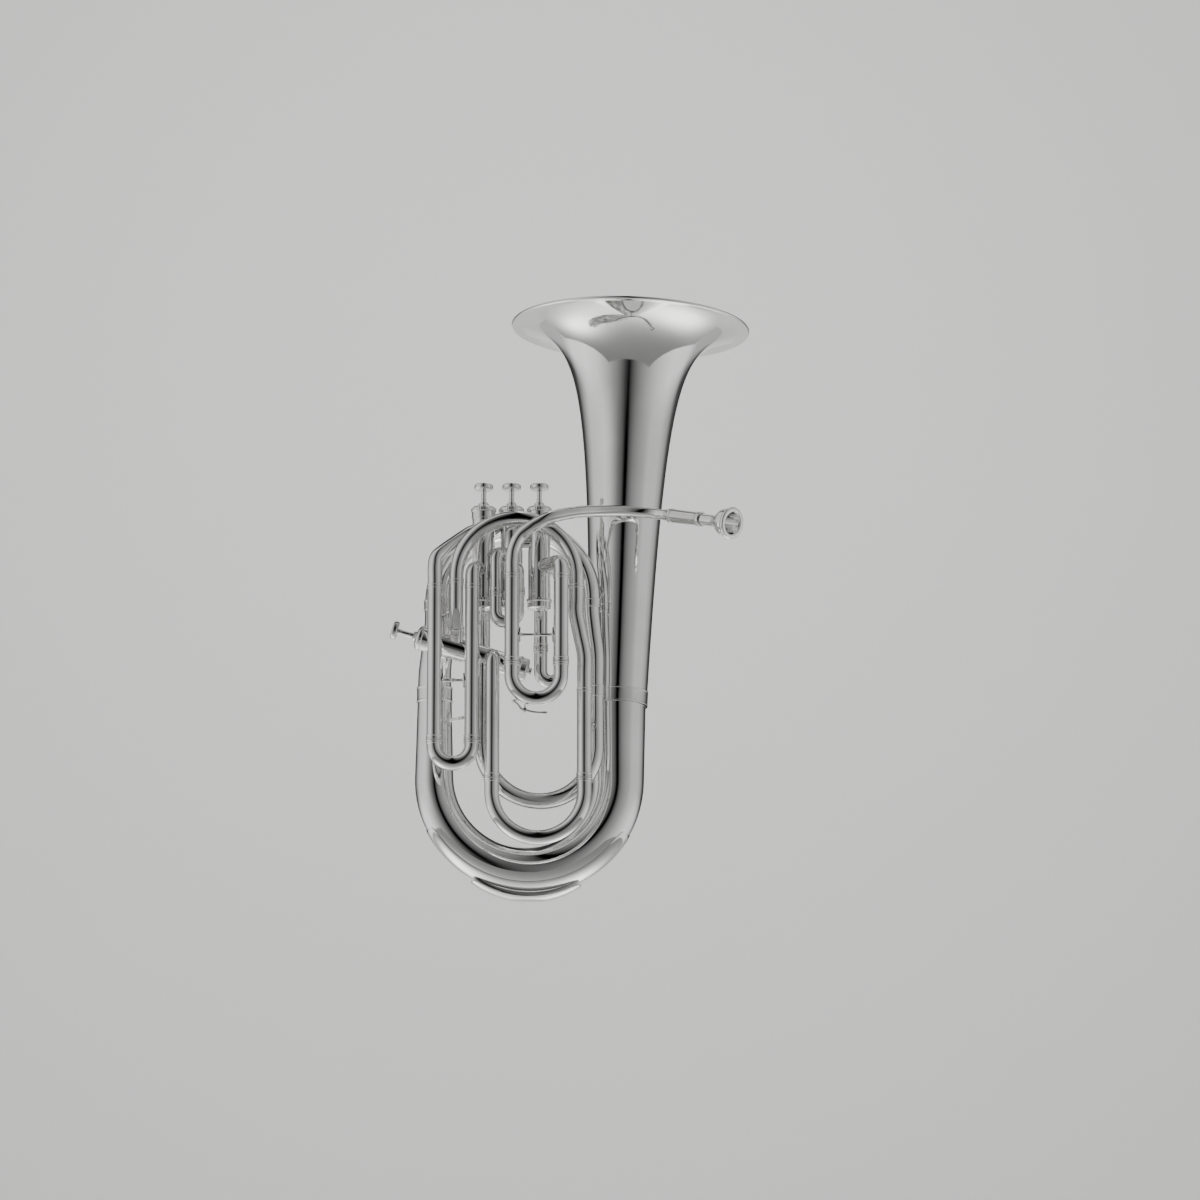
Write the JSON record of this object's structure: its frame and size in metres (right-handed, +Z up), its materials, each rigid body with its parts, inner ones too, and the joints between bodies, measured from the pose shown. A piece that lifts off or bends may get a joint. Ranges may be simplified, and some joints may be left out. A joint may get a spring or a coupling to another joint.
{
  "type": "euphonium",
  "caption": "Silver-plated euphonium: upright flared bell, three top-action valves, a side valve, pull-out tuning slides, a water key and a mouthpiece.",
  "frame": {"origin": "middle of the flat foot of the heel guard under the bottom bow", "axes": "+Z up along the upright valves, +X across the instrument towards the bell, -Y towards the player"},
  "size_m": [0.4309, 0.3015, 0.7127],
  "materials": {
    "silver_plate": "polished silver plate on brass",
    "slide_silver": "polished silver plate, with drawn inner legs",
    "finger_button": "polished silver-plated finger button",
    "spring_steel": "drawn spring wire"
  },
  "bodies": {
    "instrument": {"bell": "silver_plate", "bell_ferrule": "silver_plate", "bottom_bow": "silver_plate", "bottom_bow_ferrule": "silver_plate", "bow_guard_strip": "silver_plate", "bow_guard_heel": "silver_plate", "left_branch": "silver_plate", "top_bow_left_ferrule": "silver_plate", "top_bow": "silver_plate", "top_bow_right_ferrule": "silver_plate", "right_branch": "silver_plate", "inner_bow_ferrule": "silver_plate", "inner_bow": "silver_plate", "valve_casing_1": "silver_plate", "top_cap_1": "silver_plate", "bottom_cap_1": "silver_plate", "valve_casing_2": "silver_plate", "top_cap_2": "silver_plate", "bottom_cap_2": "silver_plate", "valve_casing_3": "silver_plate", "top_cap_3": "silver_plate", "bottom_cap_3": "silver_plate", "valve_casing_4": "silver_plate", "top_cap_4": "silver_plate", "bottom_cap_4": "silver_plate", "valve_spring_1": "spring_steel", "valve_spring_2": "spring_steel", "valve_spring_3": "spring_steel", "valve_link_1_2": "silver_plate", "valve_link_2_3": "silver_plate", "valve_link_1_4": "silver_plate", "leadpipe": "silver_plate", "receiver": "silver_plate", "leadpipe_brace": "silver_plate", "main_sleeve_left": "silver_plate", "main_sleeve_right": "silver_plate", "main_sleeve_brace": "silver_plate", "first_sleeve_left": "silver_plate", "first_sleeve_right": "silver_plate", "second_sleeve_left": "silver_plate", "second_sleeve_right": "silver_plate", "third_sleeve_left": "silver_plate", "third_sleeve_right": "silver_plate", "fourth_loop_arch": "silver_plate", "fourth_sleeve_left": "silver_plate"},
    "valve_1": {"piston_1": "silver_plate", "finger_button_1": "finger_button"},
    "valve_2": {"piston_2": "silver_plate", "finger_button_2": "finger_button"},
    "valve_3": {"piston_3": "silver_plate", "finger_button_3": "finger_button"},
    "valve_4": {"piston_4": "silver_plate", "finger_button_4": "finger_button"},
    "main_slide": {"main_tuning_slide": "slide_silver"},
    "key": {"water_key": "silver_plate"},
    "first_slide": {"first_valve_slide": "slide_silver"},
    "second_slide": {"second_valve_slide": "slide_silver"},
    "third_slide": {"third_valve_slide": "slide_silver"},
    "fourth_slide": {"fourth_valve_slide": "slide_silver"},
    "mouthpiece": {"mouthpiece": "silver_plate"}
  },
  "joints": [
    {"name": "valve_1_press", "type": "slide", "parent": "instrument", "child": "valve_1", "axis": [0, 0, -1], "range_m": [0, 0.0155], "stiffness_N_per_m": 150, "springref_m": -0.02, "deforming": ["valve_spring_1"]},
    {"name": "valve_2_press", "type": "slide", "parent": "instrument", "child": "valve_2", "axis": [0, 0, -1], "range_m": [0, 0.0155], "stiffness_N_per_m": 150, "springref_m": -0.02, "deforming": ["valve_spring_2"]},
    {"name": "valve_3_press", "type": "slide", "parent": "instrument", "child": "valve_3", "axis": [0, 0, -1], "range_m": [0, 0.0155], "stiffness_N_per_m": 150, "springref_m": -0.02, "deforming": ["valve_spring_3"]},
    {"name": "valve_4_press", "type": "slide", "parent": "instrument", "child": "valve_4", "axis": [0.9548, 0, -0.2974], "range_m": [0, 0.0155], "stiffness_N_per_m": 150, "springref_m": -0.02},
    {"name": "main_slide_pull", "type": "slide", "parent": "instrument", "child": "main_slide", "axis": [0, 0, -1], "range_m": [0, 0.06]},
    {"name": "first_slide_pull", "type": "slide", "parent": "instrument", "child": "first_slide", "axis": [0, 0, -1], "range_m": [0, 0.06]},
    {"name": "second_slide_pull", "type": "slide", "parent": "instrument", "child": "second_slide", "axis": [0, 0, -1], "range_m": [0, 0.018]},
    {"name": "third_slide_pull", "type": "slide", "parent": "instrument", "child": "third_slide", "axis": [0, 0, -1], "range_m": [0, 0.045]},
    {"name": "fourth_slide_pull", "type": "slide", "parent": "instrument", "child": "fourth_slide", "axis": [0, 0, -1], "range_m": [0, 0.08]},
    {"name": "water_key_press", "type": "hinge", "parent": "main_slide", "child": "key", "pos_m": [-0.0005, -0.082, 0.2133], "axis": [0, -1, 0], "range_deg": [0, 15], "stiffness_Nm_per_rad": 0.02, "springref_deg": -17.19},
    {"name": "mouthpiece_pull", "type": "slide", "parent": "instrument", "child": "mouthpiece", "axis": [0.7239, -0.6449, -0.245], "range_m": [0, 0.03]}
  ]
}
